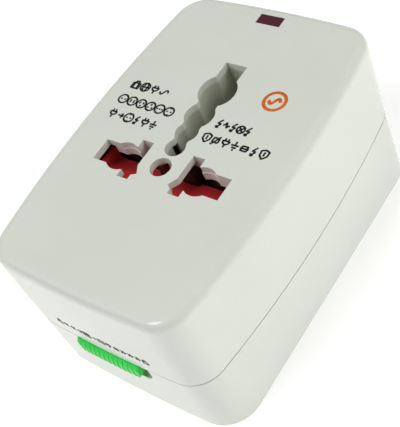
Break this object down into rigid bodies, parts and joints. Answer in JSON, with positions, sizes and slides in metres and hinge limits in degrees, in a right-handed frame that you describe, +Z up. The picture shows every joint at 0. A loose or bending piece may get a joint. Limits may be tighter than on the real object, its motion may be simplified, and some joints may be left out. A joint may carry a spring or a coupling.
{
  "type": "travel plug adaptor",
  "caption": "Two-part universal travel plug adaptor: pins fold out of the base, a shuttered socket face lifts off above, and a green slider locks the halves.",
  "frame": {"origin": "bottom centre of the base, midway between its sides and its ends", "axes": "+Z up out of the socket face, +Y along the length away from the lock slider, +X to the line side of the socket"},
  "size_m": [0.0474, 0.0721, 0.0358],
  "materials": {
    "shell_white": "fine satin",
    "inner_white": "satin",
    "core_black": "satin",
    "well_grey": "satin",
    "pad_green": "satin",
    "shutter_red": "satin",
    "lens_maroon": "glossy",
    "pin_black": "satin",
    "plated_brass": "nickel plated",
    "brass": "bright",
    "steel": "zinc plated",
    "fuse_ceramic": "glazed",
    "board_green": "lacquered",
    "disc_blue": "glossy",
    "resistor_tan": "satin",
    "lamp_glass": "clear",
    "print_black": "printed ink",
    "print_orange": "printed ink"
  },
  "bodies": {
    "plug_half": {"plug_case": "shell_white", "pin_cradle": "inner_white", "plug_deck": "inner_white", "deck_screws": "steel", "line_sleeve": "brass", "neutral_sleeve": "brass", "line_busbar": "brass", "neutral_busbar": "brass", "fuse_body": "fuse_ceramic", "fuse_caps": "plated_brass", "fuse_clip_near": "brass", "fuse_clip_far": "brass", "uk_pin_axle": "steel", "earth_pin_axle": "steel", "round_pin_axle_right": "steel", "round_pin_axle_left": "steel"},
    "lock_slider": {"lock_pad": "pad_green", "lock_plate": "steel"},
    "uk_line_pins": {"uk_pin_carrier": "pin_black", "uk_line_pin": "plated_brass", "uk_neutral_pin": "plated_brass"},
    "uk_earth_pin": {"uk_earth_pin": "pin_black"},
    "flat_blade_yoke": {"flat_blade_yoke": "pin_black"},
    "flat_blade_right": {"flat_blade_right": "plated_brass"},
    "flat_blade_left": {"flat_blade_left": "plated_brass"},
    "round_pin_right": {"round_pin_right": "plated_brass", "round_pin_hub_right": "pin_black"},
    "round_pin_left": {"round_pin_left": "plated_brass", "round_pin_hub_left": "pin_black"},
    "socket_half": {"socket_shell": "shell_white", "indicator_lens": "lens_maroon", "pin_guide": "inner_white", "earth_well": "well_grey", "socket_core": "core_black", "line_contact": "brass", "neutral_contact": "brass", "line_link_post": "brass", "neutral_link_post": "brass", "back_plate": "inner_white", "back_screws": "steel", "shutter_spring_right": "steel", "shutter_spring_left": "steel", "circuit_board": "board_green", "surge_disc": "disc_blue", "resistor": "resistor_tan", "indicator_lamp": "lamp_glass"},
    "shutter": {"shutter": "shutter_red"}
  },
  "joints": [
    {"name": "socket_half_lift", "type": "slide", "parent": "plug_half", "child": "socket_half", "axis": [0, 0, 1], "range_m": [0, 0.03]},
    {"name": "lock_slide", "type": "slide", "parent": "plug_half", "child": "lock_slider", "axis": [1, 0, 0], "range_m": [0, 0.002]},
    {"name": "uk_line_pins_fold", "type": "hinge", "parent": "plug_half", "child": "uk_line_pins", "pos_m": [0, -0.0126, 0.0024], "axis": [1, 0, 0], "range_deg": [0, 90]},
    {"name": "uk_earth_pin_fold", "type": "hinge", "parent": "plug_half", "child": "uk_earth_pin", "pos_m": [0, 0.00777, 0.0024], "axis": [-1, 0, 0], "range_deg": [0, 90]},
    {"name": "flat_blades_fold", "type": "hinge", "parent": "plug_half", "child": "flat_blade_yoke", "pos_m": [0, -0.00575, 0.0024], "axis": [-1, 0, 0], "range_deg": [0, 90]},
    {"name": "flat_blade_right_twist", "type": "hinge", "parent": "flat_blade_yoke", "child": "flat_blade_right", "pos_m": [0.00635, 0, 0.0035], "axis": [0, 1, 0], "range_deg": [0, 30]},
    {"name": "flat_blade_left_twist", "type": "hinge", "parent": "flat_blade_yoke", "child": "flat_blade_left", "pos_m": [-0.00635, 0, 0.0035], "axis": [0, -1, 0], "range_deg": [0, 30]},
    {"name": "round_pin_right_fold", "type": "hinge", "parent": "plug_half", "child": "round_pin_right", "pos_m": [0.0095, 0.03, 0.0024], "axis": [1, 0, 0], "range_deg": [0, 90]},
    {"name": "round_pin_left_fold", "type": "hinge", "parent": "plug_half", "child": "round_pin_left", "pos_m": [-0.0095, 0.03, 0.0024], "axis": [1, 0, 0], "range_deg": [0, 90]},
    {"name": "shutter_slide", "type": "slide", "parent": "socket_half", "child": "shutter", "axis": [0, -1, 0], "range_m": [0, 0.0095], "stiffness_N_per_m": 60, "springref_m": -0.002, "deforming": ["shutter_spring_right", "shutter_spring_left"]}
  ]
}
